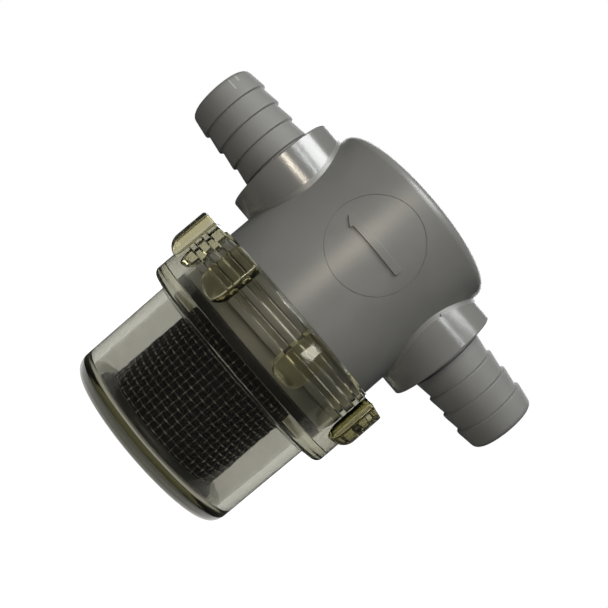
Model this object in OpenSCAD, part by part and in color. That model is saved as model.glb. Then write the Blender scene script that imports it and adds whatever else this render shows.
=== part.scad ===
// Inline strainer: a moulded head with two hose barbs, a clear bowl that screws on to it
// from below, a flat seal between them and a woven screen inside.
// Z is up along the axis of the bowl, X runs along the barbs, and the bowl stands on Z = 0.

/* [Head] */
// Diameter of the body where it meets the rim of the bowl
body_d = 54.6; // [52:0.2:60]
// How much the radius of the body shrinks towards its top
body_draft = 0.2; // [0:0.05:0.6]
// Height of the body above the rim of the bowl
body_h = 42.2; // [38:0.2:50]
// Rounding of the top edge
body_edge_r = 2.7; // [1:0.1:5]
// Height of the port axis above the rim of the bowl
port_rise = 23; // [20:0.2:24]
// Diameter of the round hubs that carry the barbs
hub_d = 32; // [26:0.2:36]
// Distance between the faces of the two hubs
hub_span = 66.4; // [60:0.2:76]
// Rounding of the hub edges
hub_edge_r = 0.6; // [0.4:0.1:2.5]
// Thickness of the inner walls of the head
head_wall = 2.7; // [2:0.1:3.2]
// Radius of the chamber above the screen
chamber_r = 16; // [12:0.2:17]
// Thickness of the roof over the chamber
roof_t = 4; // [2.5:0.1:6]
// Angle of the inlet passage, each side of the port axis
inlet_half_angle = 50; // [35:1:60]
// Height of the inlet passage above the bore
passage_head = 1; // [0.4:0.1:2]
// Bevel on the threaded end, to lead it into the bowl
lead_bevel = 0.5; // [0.3:0.1:0.8]
// Distance from the rim of the bowl up to the full width of the body
shoulder_rise = 0.3; // [0.2:0.1:0.8]

/* [Barbs] */
// Diameter over the barb crests
barb_d = 20.6; // [18:0.1:22]
// Diameter at the barb roots
barb_root_d = 19.1; // [17.5:0.1:20]
// Diameter of the nose
nose_d = 18.8; // [17:0.1:19]
// Distance from one crest to the next
barb_pitch = 5.65; // [4.5:0.05:7]
// Number of crests on each barb
barb_count = 4; // [2:1:5]
// Width of the flat on each crest
barb_land = 0.4; // [0.2:0.05:0.8]
// Length of the steep side of each crest
barb_step = 0.4; // [0.3:0.05:1.2]
// Gap between the hub face and the first crest
barb_neck = 1.5; // [0.8:0.1:2.5]
// Length of the nose beyond the last crest
barb_nose = 5.95; // [4:0.05:8]
// Rounding of the nose
nose_r = 1.7; // [0.5:0.1:1.9]
// Diameter of the bores
bore_d = 15.2; // [12:0.1:15.6]

/* [Flow mark] */
// Diameter of the round insert line
mark_d = 24.5; // [18:0.5:28]
// Height of the mark above the port axis
mark_rise = 1.1; // [0:0.1:3]
// Width of the insert line
mark_line_w = 0.35; // [0.2:0.05:0.6]
// Depth of the insert line
mark_line_depth = 0.15; // [0.1:0.05:0.3]
// Length of the arrow
arrow_l = 19; // [12:0.5:22]
// Height of the arrow shaft
arrow_shaft_w = 2.1; // [1.4:0.1:3]
// Height of the arrow head
arrow_head_w = 4; // [3.2:0.1:6]
// Length of the arrow head
arrow_head_l = 2.8; // [2:0.1:5]
// How far the arrow stands proud of the body
arrow_proud = 0.45; // [0.2:0.05:0.6]

/* [Thread] */
// Rise of the thread in one turn
thread_pitch = 4; // [3.6:0.1:5]
// Turns of thread on the head
thread_turns = 2.8; // [2:0.1:2.9]
// Height of the ridge
thread_depth = 1; // [0.7:0.05:1.2]
// Width of the ridge at its crest
thread_crest_w = 1.5; // [1:0.05:1.6]
// Width of the ridge at its root
thread_root_w = 2.3; // [1.8:0.05:2.4]
// Clearance between the two threads, and between the rim and the body
thread_gap = 0.3; // [0.2:0.05:0.4]
// Straight pieces in one turn
thread_steps = 36; // [24:12:48]

/* [Bowl] */
// Height of the rim above the base
rim_z = 51.6; // [49:0.2:56]
// Diameter of the wall below the collar
wall_d = 56.1; // [54:0.2:62]
// How much the radius of the wall shrinks towards the base
wall_draft = 0.6; // [0:0.05:1.2]
// Thickness of the wall
wall_t = 2.9; // [2:0.1:3.2]
// Thickness of the floor
floor_t = 4; // [2.5:0.1:6]
// Rounding of the base edge
base_r = 3.6; // [2:0.1:6]
// Rounding between floor and wall inside
floor_r = 1.8; // [0.5:0.1:3]
// Depth of the hollow under the base
foot_depth = 0.5; // [0.2:0.1:1]
// Width of the rim that the bowl stands on
foot_w = 3; // [2:0.1:6]
// Diameter of the collar
collar_d = 65.6; // [64:0.2:72]
// Height of the collar's underside at the wall
collar_z = 30.1; // [26:0.2:31]
// How much the collar's underside rises outwards
collar_slope = 1; // [0:0.1:1.2]
// Rounding of the collar's lower edge
collar_r = 1.9; // [1:0.1:2.4]
// How much the collar's top falls outwards
rim_slope = 0.9; // [0.2:0.1:2]
// Rounding of the collar's upper edge
rim_r = 0.7; // [0.3:0.1:1.2]
// Height of the ledge that the seal lies on
ledge_z = 34.5; // [34:0.1:36]
// Bevel inside the rim, to lead the head in
mouth_bevel = 0.5; // [0.3:0.1:0.8]

/* [Lugs] */
// Number of grip lugs
lug_count = 8; // [4:1:10]
// Radius over the lugs
lug_r = 36.2; // [34.4:0.1:39]
// Width of a lug
lug_w = 8.5; // [5:0.1:9]
// Height of the straight part of a lug
lug_h = 9.3; // [5:0.1:12]
// Distance from the rim down to the tops of the lugs
lug_drop = 0.6; // [0.4:0.1:3]
// Bevel along the outer edges of a lug
lug_bevel = 0.8; // [0.3:0.1:1.2]
// How far the round foot of a lug stays inside its sides
lug_foot_inset = 0.1; // [0.05:0.05:0.3]
// How deep a lug is rooted in the collar
lug_root = 0.8; // [0.4:0.1:1.5]
// Angle of the lug next to the flow mark, from the front
lug_phase = 14.7; // [0:0.1:45]

/* [Seal] */
// Thickness of the seal
seal_t = 2.2; // [1.5:0.1:3]
// Width of the seal between its inner and outer edges
seal_w = 2.2; // [1.5:0.1:2.3]

/* [Screen] */
// Outer diameter of the screen
screen_d = 38; // [34:0.2:38.4]
// Thickness of the woven wall
mesh_t = 0.9; // [0.6:0.1:1.2]
// Columns of gaps round the screen
mesh_cols = 24; // [12:1:24]
// Rows of gaps up the screen
mesh_rows = 5; // [4:1:5]
// Width of the strips between the gaps
strand_w = 2.5; // [1:0.1:3]
// How far the ridges stand out from the wall
ridge_h = 0.25; // [0.1:0.05:0.4]
// Thickness of the bottom of the woven basket
basket_t = 0.8; // [0.5:0.1:1.2]
// Height of the end cap
cap_h = 2.4; // [2.4:0.1:4]
// How far the foot of the end cap flares out
cap_flare = 2; // [1:0.1:2.1]
// Thickness of the edge of that foot
cap_lip = 0.6; // [0.4:0.1:0.6]
// Thickness of the bottom of the end cap
cap_t = 0.8; // [0.5:0.1:1.4]
// Thickness of the end cap's wall round the basket
cap_wall_t = 0.4; // [0.3:0.1:0.8]
// Height of the collar at the top of the screen
top_h = 5.5; // [4:0.1:8]
// Thickness of that collar outside the woven wall
top_t = 0.9; // [0.6:0.1:1.2]
// Thickness of that collar inside the woven wall
lip_t = 0.6; // [0.4:0.1:1]
// Height of the collar's top face, which seats in the head
seat_z = 45.5; // [43:0.1:48]

/* [Hidden] */
// Fit of the pieces of the screen in one another
slip = 0.05;
// Clearance of the screen in its socket, and over the floor of the bowl
socket_gap = 0.25;
seat_gap = 0.1;
// Overlap used where one shape is sunk into another, and run-out of the cuts
sink = 0.2;
past = 1;
$fn = 96;

body_r = body_d / 2;
top_z = rim_z + body_h;
axis_z = rim_z + port_rise;
hub_r = hub_d / 2;
hub_x = hub_span / 2;

end_z = ledge_z + seal_t;
thread_major_r = body_r;
thread_core_r = thread_major_r - thread_depth;
female_root_r = thread_major_r + thread_gap;
female_crest_r = female_root_r - thread_depth;
thread_z = end_z + thread_pitch / 2;
// The bowl's thread is this many turns shorter, as it starts higher and ends below the rim
turns_less = 0.75;
// The ridge starts at this share of its height, and grows over this part of a turn
ridge_start = 0.06;
fade_turns = 0.1;

wall_r = wall_d / 2;
collar_r_out = collar_d / 2;
wall_in_r = wall_r - wall_t;

mesh_r = screen_d / 2;
mesh_in_r = mesh_r - mesh_t;
cap_z = floor_t + seat_gap;
socket_r = mesh_r + top_t + socket_gap;
socket_wall_r = socket_r + head_wall / 2;
skirt_in_r = thread_core_r - head_wall;
core_out_r = body_r - head_wall - body_draft;
core_in_r = chamber_r + head_wall;
passage_top_z = axis_z + bore_d / 2 + passage_head;
shoulder_h = thread_depth * 1.3;

crest_x = [for (i = [0:barb_count - 1]) hub_x + barb_neck + i * barb_pitch];
tip_x = crest_x[barb_count - 1] + barb_land + barb_nose;

// Points along an arc about c from angle a0 to a1
function arc(c, r, a0, a1, n = 8) =
    [for (i = [0:n]) c + r * [cos(a0 + (a1 - a0) * i / n), sin(a0 + (a1 - a0) * i / n)]];

// Height of the thread ridge as a share of its full height, fading in and out at the ends
function fade(turn, turns) = min(1, ridge_start + min(turn, turns - turn) / fade_turns);

// A trapezoid ridge wound once round for each turn, rising anticlockwise
module thread_ridge(root_r, crest_r, z, turns) {
    n = ceil(turns * thread_steps);
    pts = [
        for (i = [0:n]) let (
            turn = turns * i / n,
            a = 360 * turn,
            h = z + thread_pitch * turn,
            r = root_r + (crest_r - root_r) * fade(turn, turns)
        ) each [
            [root_r * cos(a), root_r * sin(a), h - thread_root_w / 2],
            [r * cos(a), r * sin(a), h - thread_crest_w / 2],
            [r * cos(a), r * sin(a), h + thread_crest_w / 2],
            [root_r * cos(a), root_r * sin(a), h + thread_root_w / 2]
        ]
    ];
    sides = [
        for (i = [0:n - 1], k = [0:3]) let (a = 4 * i + k, b = 4 * i + (k + 1) % 4) each
            (crest_r > root_r) ? [[a, b, b + 4], [a, b + 4, a + 4]] : [[a, b + 4, b], [a, a + 4, b + 4]]
    ];
    first = [0, 1, 2, 3];
    last = [4 * n, 4 * n + 1, 4 * n + 2, 4 * n + 3];
    ends = (crest_r > root_r)
        ? [[0, 3, 2], [0, 2, 1], [last[0], last[1], last[2]], [last[0], last[2], last[3]]]
        : [[0, 2, 3], [0, 1, 2], [last[0], last[2], last[1]], [last[0], last[3], last[2]]];
    polyhedron(points = pts, faces = concat(sides, ends), convexity = 6);
}

// Head

module body_shape() {
    top_r = body_r - body_draft;
    rotate_extrude() polygon(concat(
        [[0, end_z], [thread_core_r - lead_bevel, end_z], [thread_core_r, end_z + lead_bevel],
         [thread_core_r, rim_z - shoulder_rise - shoulder_h], [body_r, rim_z - shoulder_rise]],
        arc([top_r - body_edge_r, top_z - body_edge_r], body_edge_r, 0, 90),
        [[0, top_z]]
    ));
}

module hub() {
    rotate([0, 90, 0]) rotate_extrude() polygon(concat(
        [[0, 0], [hub_r, 0]],
        arc([hub_r - hub_edge_r, hub_x - hub_edge_r], hub_edge_r, 0, 90),
        [[0, hub_x]]
    ));
}

module barb() {
    crest_r = barb_d / 2;
    root_r = barb_root_d / 2;
    teeth = [
        for (x = crest_x) each [
            [root_r, x - barb_step],
            [crest_r, x],
            [crest_r, x + barb_land]
        ]
    ];
    rotate([0, 90, 0]) rotate_extrude() polygon(concat(
        [[0, 0], [root_r, 0]],
        teeth,
        arc([nose_d / 2 - nose_r, tip_x - nose_r], nose_r, 0, 90),
        [[0, tip_x]]
    ));
}

module port_bore(from_x) {
    translate([from_x, 0, 0]) rotate([0, 90, 0]) cylinder(d = bore_d, h = tip_x + past - from_x);
}

// Disc between two heights
module disc(r, z0, z1) {
    translate([0, 0, z0]) cylinder(r = r, h = z1 - z0);
}

// Ring-shaped cut between two radii and two heights
module ring_cut(r_in, r_out, z0, z1) {
    translate([0, 0, z0]) difference() {
        cylinder(r = r_out, h = z1 - z0);
        translate([0, 0, -past]) cylinder(r = r_in, h = z1 - z0 + 2 * past);
    }
}

module inlet_passage() {
    intersection() {
        ring_cut(core_in_r, core_out_r, seat_z + head_wall, passage_top_z);
        linear_extrude(height = top_z) polygon([
            [0, 0],
            [body_d, -body_d * tan(inlet_half_angle)],
            [body_d, body_d * tan(inlet_half_angle)]
        ]);
    }
}

module insert_line() {
    translate([0, 0, axis_z + mark_rise]) rotate([90, 0, 0]) difference() {
        cylinder(d = mark_d + mark_line_w, h = body_d);
        translate([0, 0, -past]) cylinder(d = mark_d - mark_line_w, h = body_d + 2 * past);
    }
}

module arrow() {
    l = arrow_l / 2;
    intersection() {
        translate([0, 0, axis_z + mark_rise]) rotate([90, 0, 0]) linear_extrude(height = body_d) polygon([
            [-l, 0],
            [-l + arrow_head_l, -arrow_head_w / 2],
            [-l + arrow_head_l, -arrow_shaft_w / 2],
            [l, -arrow_shaft_w / 2],
            [l, arrow_shaft_w / 2],
            [-l + arrow_head_l, arrow_shaft_w / 2],
            [-l + arrow_head_l, arrow_head_w / 2]
        ]);
        translate([0, 0, rim_z]) cylinder(r = body_r + arrow_proud - body_draft / 2, h = body_h);
    }
}

module head() color("dimgray") difference() {
    union() {
        difference() {
            body_shape();
            difference() {
                insert_line();
                translate([0, 0, rim_z]) cylinder(r = body_r - mark_line_depth - body_draft / 2, h = body_h);
            }
        }
        thread_ridge(thread_core_r - sink, thread_major_r, thread_z, thread_turns);
        for (side = [0, 180]) translate([0, 0, axis_z]) rotate([0, 0, side]) {
            hub();
            barb();
        }
        arrow();
    }
    // chamber over the screen, and the socket that its collar seats in
    translate([0, 0, end_z]) cylinder(r = chamber_r, h = top_z - roof_t - end_z);
    translate([0, 0, end_z - past]) cylinder(r = socket_r, h = seat_z - end_z + past);
    // way down outside the screen
    ring_cut(socket_wall_r, skirt_in_r, end_z - past, seat_z + head_wall + past);
    inlet_passage();
    translate([0, 0, axis_z]) {
        port_bore(core_in_r + sink);
        rotate([0, 0, 180]) port_bore(chamber_r - head_wall);
    }
}

// Bowl

module bowl_shape() {
    low_r = wall_r - wall_draft;
    foot_r = low_r - base_r;
    underside_r = collar_r_out - collar_r;
    rim_out_r = collar_r_out - rim_r;
    underside_a = atan(collar_slope / (collar_r_out - wall_r)) - 90;
    rim_a = 90 - atan(rim_slope / (collar_r_out - female_root_r));
    rotate_extrude() polygon(concat(
        [[0, foot_depth], [foot_r - foot_w, foot_depth], [foot_r - foot_w + foot_depth, 0]],
        arc([foot_r, base_r], base_r, -90, 0),
        [[wall_r, collar_z]],
        arc([underside_r, collar_z + collar_slope + collar_r], collar_r, underside_a, 0),
        arc([rim_out_r, rim_z - rim_slope - rim_r], rim_r, 0, rim_a),
        [[female_root_r + mouth_bevel, rim_z], [female_root_r, rim_z - mouth_bevel],
         [female_root_r, ledge_z], [wall_in_r, ledge_z]],
        arc([wall_in_r - wall_draft - floor_r, floor_t + floor_r], floor_r, 0, -90),
        [[0, floor_t]]
    ));
}

module lug() {
    ball_r = lug_w / 2 - lug_foot_inset;
    base_z = rim_z - lug_drop - lug_h;
    half_w = lug_w / 2;
    root_r = collar_r_out - lug_root;
    intersection() {
        translate([0, 0, base_z]) linear_extrude(height = lug_h) polygon([
            [root_r, -half_w],
            [lug_r - lug_bevel, -half_w],
            [lug_r, -half_w + lug_bevel],
            [lug_r, half_w - lug_bevel],
            [lug_r - lug_bevel, half_w],
            [root_r, half_w]
        ]);
        translate([0, 0, base_z - past]) cylinder(r = lug_r, h = lug_h + past * 2);
    }
    translate([lug_r - ball_r, 0, base_z]) sphere(r = ball_r);
}

module bowl() color("gainsboro", 0.5) {
    bowl_shape();
    for (i = [0:lug_count - 1]) rotate([0, 0, lug_phase - 90 + i * 360 / lug_count]) lug();
    thread_ridge(female_root_r + sink, female_crest_r, thread_z + thread_pitch / 2, thread_turns - turns_less);
}

// Seal

module bowl_seal() color("black") {
    out_r = female_root_r - thread_gap;
    translate([0, 0, ledge_z]) difference() {
        cylinder(r = out_r, h = seal_t);
        translate([0, 0, -past]) cylinder(r = out_r - seal_w, h = seal_t + 2 * past);
    }
}

// Screen

module screen_mesh() color("darkslategray") {
    z0 = cap_z + cap_t;
    z1 = seat_z - cap_t;
    open_z0 = cap_z + cap_h;
    open_h = seat_z - top_h - open_z0;
    row_h = open_h / mesh_rows;
    col_a = 360 / mesh_cols;
    gap_w = mesh_r * 2 * sin(col_a / 2) - strand_w;
    rib_t = ridge_h + sink;
    difference() {
        union() {
            disc(mesh_r - ridge_h, z0, z1);
            disc(mesh_r, z0, open_z0 + strand_w / 4);
            disc(mesh_r, seat_z - top_h - strand_w / 4, z1);
            for (z = [open_z0 + row_h:row_h:seat_z - top_h - row_h / 2])
                disc(mesh_r, z - strand_w / 4, z + strand_w / 4);
            for (i = [0:mesh_cols - 1]) rotate([0, 0, (i + 0.5) * col_a])
                translate([mesh_r - rib_t, -strand_w / 4, z0 + sink])
                    cube([rib_t - ridge_h / 4, strand_w / 2, z1 - z0 - 2 * sink]);
        }
        disc(mesh_in_r, z0 + basket_t, z1 + past);
        for (i = [0:mesh_cols - 1], k = [0:mesh_rows - 1]) rotate([0, 0, i * col_a])
            translate([mesh_in_r - past, -gap_w / 2, open_z0 + k * row_h + strand_w / 2])
                cube([mesh_t + 2 * past, gap_w, row_h - strand_w]);
    }
}

module screen_end_cap() color("#2b2b29") translate([0, 0, cap_z]) {
    flare_r = cap_flare - cap_wall_t;
    rotate_extrude() polygon(concat(
        [[0, 0], [mesh_r + cap_flare, 0]],
        arc([mesh_r + cap_flare, flare_r + cap_lip], flare_r, -90, -180),
        [[mesh_r + cap_wall_t, cap_h], [mesh_r + slip, cap_h],
         [mesh_r + slip, cap_t], [0, cap_t]]
    ));
}

module screen_collar() color("#2b2b29") {
    translate([0, 0, seat_z - top_h]) difference() {
        cylinder(r = mesh_r + top_t, h = top_h);
        translate([0, 0, -past]) cylinder(r = mesh_in_r - lip_t, h = top_h + 2 * past);
        translate([0, 0, -past]) difference() {
            cylinder(r = mesh_r + slip, h = top_h - cap_t + past);
            translate([0, 0, -past]) cylinder(r = mesh_in_r - slip, h = top_h + 2 * past);
        }
    }
}

head();
bowl();
bowl_seal();
screen_mesh();
screen_end_cap();
screen_collar();
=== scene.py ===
"""Looks of the inline strainer: moulded head with two hose barbs, clear screw-on bowl, seal and woven screen."""

import logging
import math
from dataclasses import dataclass
from enum import Enum
from typing import Callable, Sequence

import bmesh
import bpy
from mathutils import Matrix, Vector


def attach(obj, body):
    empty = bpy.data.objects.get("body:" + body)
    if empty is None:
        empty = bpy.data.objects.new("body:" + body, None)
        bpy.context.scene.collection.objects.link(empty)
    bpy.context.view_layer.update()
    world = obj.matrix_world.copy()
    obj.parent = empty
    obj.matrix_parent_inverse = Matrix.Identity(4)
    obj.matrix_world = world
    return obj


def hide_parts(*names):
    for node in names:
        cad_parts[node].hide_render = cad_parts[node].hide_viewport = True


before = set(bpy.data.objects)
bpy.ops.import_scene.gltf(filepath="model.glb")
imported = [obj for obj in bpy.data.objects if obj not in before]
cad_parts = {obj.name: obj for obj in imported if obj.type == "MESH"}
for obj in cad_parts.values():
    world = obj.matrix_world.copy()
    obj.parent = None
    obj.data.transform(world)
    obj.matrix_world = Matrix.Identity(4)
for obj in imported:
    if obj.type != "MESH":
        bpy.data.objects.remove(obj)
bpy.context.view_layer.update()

MM = 0.001
FULL_TURN = 2 * math.pi
# Points closer than the first are welded, places closer than the second count as one, and cuts split at the third.
WELD_MM = 0.0005
NEAR_MM = 0.01
SPLIT_MM = 1e-5
SHARP_DEG = 32.0
# A count of bounces above this is one or more.
ONCE = 0.5

log = logging.getLogger("strainer")

Point = tuple[float, float]
Corner = tuple[float, float, float]
Colour = tuple[float, float, float, float]
Shape = bmesh.types.BMesh
Tree = bpy.types.NodeTree
Socket = bpy.types.NodeSocket


class Join(Enum):
    """How one solid is worked into another."""

    ADD = "UNION"
    CUT = "DIFFERENCE"


class Axis(Enum):
    """Directions that a turned piece may lie along."""

    UP = Matrix.Identity(3)
    RIGHT = Matrix.Rotation(math.pi / 2, 3, "Y")
    LEFT = Matrix.Rotation(-math.pi / 2, 3, "Y")
    FRONT = Matrix.Rotation(math.pi / 2, 3, "X")


def rounded(corners: Sequence[Corner], parts: int = 6) -> list[Point]:
    """Rounds the corners of a chain of lines.

    Args:
        corners: The corners as (radius, height, rounding), where a rounding of 0 keeps the corner sharp.
        parts: Straight parts in each rounding.

    Returns:
        The points of the rounded chain, in order.
    """
    points: list[Point] = []
    for i, (x, y, rounding) in enumerate(corners):
        here = Vector((x, y))
        if rounding <= 0 or i in (0, len(corners) - 1):
            points.append((x, y))
            continue
        before = (Vector(corners[i - 1][:2]) - here).normalized()
        after = (Vector(corners[i + 1][:2]) - here).normalized()
        half = math.acos(max(-1.0, min(1.0, before.dot(after)))) / 2
        reach = rounding / math.tan(half)
        centre = here + (before + after).normalized() * (rounding / math.sin(half))
        start = here + before * reach - centre
        sweep = start.angle_signed(here + after * reach - centre)
        for k in range(parts + 1):
            turn = -sweep * k / parts
            c, s = math.cos(turn), math.sin(turn)
            points.append((centre.x + start.x * c - start.y * s, centre.y + start.x * s + start.y * c))
    return points


def tidy(bm: Shape) -> Shape:
    """Merges doubled points and turns all faces outwards."""
    bmesh.ops.remove_doubles(bm, verts=bm.verts, dist=WELD_MM)
    bmesh.ops.recalc_face_normals(bm, faces=bm.faces)
    return bm


def turned(profile: Sequence[Point], steps: int, axis: Axis = Axis.UP, closed: bool = False) -> Shape:
    """Turns a profile once round its axis, as on a lathe.

    Args:
        profile: Points as (radius, distance along the axis).
        steps: Straight parts in the full turn.
        axis: The direction of the axis, which passes through the origin.
        closed: True if the last point joins the first, as for a ring.

    Returns:
        The closed shape.
    """
    bm = bmesh.new()
    verts = [bm.verts.new((r, 0.0, z)) for r, z in profile]
    edges = [bm.edges.new(pair) for pair in zip(verts, verts[1:] + verts[:1] if closed else verts[1:])]
    bmesh.ops.spin(
        bm, geom=verts + edges, cent=(0, 0, 0), axis=(0, 0, 1), dvec=(0, 0, 0), angle=FULL_TURN,
        steps=steps, use_merge=True, use_normal_flip=False, use_duplicate=False,
    )
    bmesh.ops.rotate(bm, verts=bm.verts, cent=(0, 0, 0), matrix=axis.value)
    return tidy(bm)


def moved(bm: Shape, by: tuple[float, float, float]) -> Shape:
    """Moves a shape and gives it back."""
    bmesh.ops.translate(bm, verts=bm.verts, vec=by)
    return bm


def swung(bm: Shape, degrees: float) -> Shape:
    """Turns a shape about the upright axis and gives it back."""
    bmesh.ops.rotate(bm, verts=bm.verts, cent=(0, 0, 0), matrix=Matrix.Rotation(math.radians(degrees), 3, "Z"))
    return bm


def gathered(parts: Sequence[Shape]) -> Shape:
    """Puts shapes that don't touch into one, and frees them.

    Args:
        parts: The shapes.

    Returns:
        One shape that holds them all.
    """
    whole = bmesh.new()
    for part in parts:
        mesh = bpy.data.meshes.new("part")
        part.to_mesh(mesh)
        part.free()
        whole.from_mesh(mesh)
        bpy.data.meshes.remove(mesh)
    return whole


def worked(base: Shape, tool: Shape, how: Join) -> Shape:
    """Adds a solid to another or cuts it out of it, and frees both.

    Args:
        base: The solid that is worked on.
        tool: The solid that is added or cut out.
        how: What is done.

    Returns:
        The new solid.
    """
    pair = []
    for name, bm in (("base", base), ("tool", tool)):
        mesh = bpy.data.meshes.new(name)
        bm.to_mesh(mesh)
        bm.free()
        obj = bpy.data.objects.new(name, mesh)
        bpy.context.scene.collection.objects.link(obj)
        pair.append(obj)
    change = pair[0].modifiers.new("work", "BOOLEAN")
    change.operation, change.solver, change.object = how.value, "EXACT", pair[1]
    result = bpy.data.meshes.new_from_object(pair[0].evaluated_get(bpy.context.evaluated_depsgraph_get()))
    bm = bmesh.new()
    bm.from_mesh(result)
    bpy.data.meshes.remove(result)
    for obj in pair:
        mesh = obj.data
        bpy.data.objects.remove(obj)
        bpy.data.meshes.remove(mesh)
    bmesh.ops.dissolve_degenerate(bm, dist=WELD_MM, edges=bm.edges)
    return bm


def as_piece(bm: Shape, name: str, material: bpy.types.Material) -> bpy.types.Object:
    """Makes a finished piece of a shape in millimetres.

    Args:
        bm: The shape, which is freed.
        name: The name of the piece.
        material: Its finish.

    Returns:
        The piece, at the origin, in metres.
    """
    bmesh.ops.scale(bm, verts=bm.verts, vec=(MM, MM, MM))
    mesh = bpy.data.meshes.new(name)
    bm.to_mesh(mesh)
    bm.free()
    mesh.materials.append(material)
    mesh.shade_smooth()
    mesh.set_sharp_from_angle(angle=math.radians(SHARP_DEG))
    piece = bpy.data.objects.new(name, mesh)
    bpy.context.scene.collection.objects.link(piece)
    even = piece.modifiers.new("even_shading", "WEIGHTED_NORMAL")
    even.mode, even.weight, even.keep_sharp = "FACE_AREA", 50, True
    log.info("%s: %d faces", name, len(mesh.polygons))
    return piece


def wound(profile: Sequence[Point], pitch: float, turns: float, steps: int) -> Shape:
    """Winds a closed profile round the upright axis, rising anticlockwise, and closes its ends.

    Args:
        profile: Points as (radius, height), at the start of the thread.
        pitch: The rise in one turn.
        turns: The number of turns.
        steps: Straight parts in one turn.

    Returns:
        The closed ridge.
    """
    bm = bmesh.new()
    verts = [bm.verts.new((r, 0.0, z)) for r, z in profile]
    edges = [bm.edges.new(pair) for pair in zip(verts, verts[1:] + verts[:1])]
    count = round(turns * steps)
    bmesh.ops.spin(
        bm, geom=verts + edges, cent=(0, 0, 0), axis=(0, 0, 1), dvec=(0, 0, pitch / steps),
        angle=FULL_TURN * count / steps, steps=count, use_merge=False, use_normal_flip=False, use_duplicate=False,
    )
    bmesh.ops.holes_fill(bm, edges=[e for e in bm.edges if e.is_boundary], sides=0)
    bmesh.ops.recalc_face_normals(bm, faces=bm.faces)
    return bm


def reshaped(bm: Shape, move: Callable[[Vector], Vector]) -> Shape:
    """Moves each point of a shape by a rule and gives the shape back."""
    for vert in bm.verts:
        vert.co = move(vert.co)
    return bm


def sliced(bm: Shape, places: Sequence[float], across: Vector) -> Shape:
    """Cuts new edges round a shape, so that it can be bent.

    Args:
        bm: The shape.
        places: Where it is cut, as distances from the origin.
        across: The direction in which the distances count.

    Returns:
        The same shape.
    """
    for place in places:
        bmesh.ops.bisect_plane(
            bm, geom=bm.verts[:] + bm.edges[:] + bm.faces[:], plane_co=across * place, plane_no=across,
            dist=SPLIT_MM,
        )
    return bm


@dataclass(frozen=True)
class ThreadForm:
    """The ridge of the thread that holds the bowl on the head, in millimetres."""

    pitch: float = 4.0
    crest_w: float = 1.5
    root_w: float = 2.3
    corner: float = 0.22
    steps: int = 96
    fade_turns: float = 0.1
    fade_least: float = 0.06
    sunk: float = 0.2

    def ridge(self, root_r: float, crest_r: float, start_z: float, turns: float) -> Shape:
        """Winds the ridge, with ends that fade into the wall.

        Args:
            root_r: Radius of the wall that carries the ridge.
            crest_r: Radius of the crest.
            start_z: Height of the middle of the ridge at its start.
            turns: The number of turns.

        Returns:
            The ridge, rooted a little inside the wall.
        """
        outward = 1 if crest_r > root_r else -1
        foot_r = root_r - self.sunk * outward
        half_root, half_crest = self.root_w / 2, self.crest_w / 2
        profile = rounded([
            (foot_r, start_z - half_root, 0), (crest_r, start_z - half_crest, self.corner),
            (crest_r, start_z + half_crest, self.corner), (foot_r, start_z + half_root, 0),
        ], parts=3)
        bm = wound(profile, self.pitch, turns, self.steps)

        def fade(point: Vector) -> Vector:
            radius = math.hypot(point.x, point.y)
            share = math.atan2(point.y, point.x) / FULL_TURN
            turn = share + round((point.z - start_z) / self.pitch - share)
            height = max(self.fade_least, min(1.0, turn / self.fade_turns, (turns - turn) / self.fade_turns))
            scale = (foot_r + (radius - foot_r) * height) / radius
            return Vector((point.x * scale, point.y * scale, point.z))

        return reshaped(bm, fade)


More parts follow.
